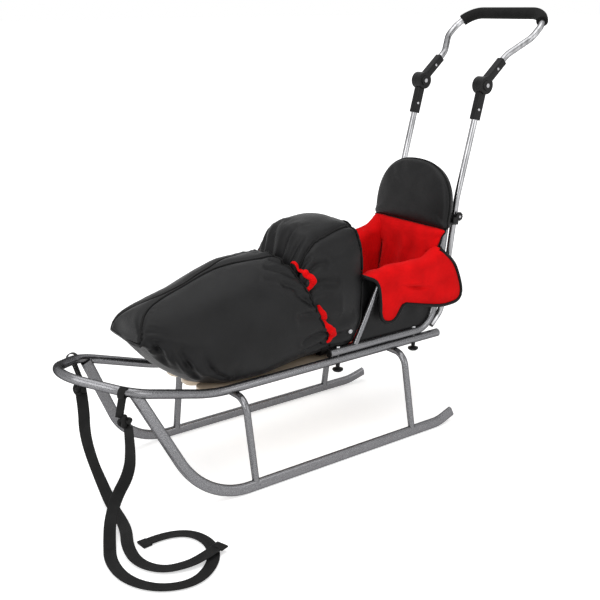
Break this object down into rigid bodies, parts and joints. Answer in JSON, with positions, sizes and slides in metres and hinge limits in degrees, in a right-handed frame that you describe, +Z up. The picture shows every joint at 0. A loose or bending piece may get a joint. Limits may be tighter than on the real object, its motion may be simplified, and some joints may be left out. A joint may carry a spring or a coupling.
{
  "type": "child sled",
  "caption": "Tubular steel child sled with wooden slats, padded seat with side wings, foot muff, folding push handle and a webbing tow strap.",
  "frame": {"origin": "on the floor, midway along and across the sled and its push handle, without the tow strap", "axes": "+X forward to the nose, +Y to the sled's left, +Z up"},
  "size_m": [1.3342, 0.599, 1.0053],
  "materials": {
    "frame_paint": "silver grey metallic paint with a fine speckle",
    "bright_tube": "bright satin tube",
    "black_plastic": "matt moulded",
    "grey_plastic": "matt moulded, colour of the frame",
    "bolt_steel": "zinc plated",
    "slat_wood": "clear lacquered light wood",
    "foam_grip": "closed-cell foam",
    "black_cloth": "satin coated nylon",
    "red_fleece": "fleece",
    "strap_web": "woven webbing"
  },
  "bodies": {
    "sled": {"arm_tube_left": "frame_paint", "arm_tube_right": "frame_paint", "back_liner": "red_fleece", "back_panel": "black_cloth", "bow_front": "frame_paint", "bow_rear": "frame_paint", "clamps_left": "black_plastic", "clamps_right": "black_plastic", "headrest": "black_cloth", "hinge_lower_left": "black_plastic", "hinge_lower_right": "black_plastic", "hinge_pin_left": "bolt_steel", "hinge_pin_right": "bolt_steel", "muff_bag": "black_cloth", "muff_hood": "black_cloth", "pusher_left": "bright_tube", "pusher_plug_left": "black_plastic", "pusher_plug_right": "black_plastic", "pusher_right": "bright_tube", "rail_plug_left": "grey_plastic", "rail_plug_right": "grey_plastic", "runner_left": "frame_paint", "runner_right": "frame_paint", "seat_bolts_left": "bolt_steel", "seat_bolts_right": "bolt_steel", "seat_frame": "frame_paint", "seat_knobs_left": "black_plastic", "seat_knobs_right": "black_plastic", "seat_pad": "red_fleece", "seat_plug_left": "black_plastic", "seat_plug_right": "black_plastic", "side_panel_left": "black_cloth", "side_panel_right": "black_cloth", "slat_left": "slat_wood", "slat_middle": "slat_wood", "slat_right": "slat_wood", "top_frame": "frame_paint", "tow_knot_left": "strap_web", "tow_knot_right": "strap_web", "tow_loop_left": "strap_web", "tow_loop_right": "strap_web", "tow_strap_left": "strap_web", "tow_strap_right": "strap_web", "tow_tab": "strap_web", "tow_tie": "strap_web", "wing_left": "red_fleece", "wing_right": "red_fleece"},
    "push_handle": {"hinge_upper_left": "black_plastic", "hinge_upper_right": "black_plastic", "handle": "bright_tube", "grip": "foam_grip"}
  },
  "joints": [
    {"name": "handle_tilt", "type": "hinge", "parent": "sled", "child": "push_handle", "pos_m": [-0.442, 0, 0.826], "axis": [0, 1, 0], "range_deg": [-45, 130]}
  ]
}
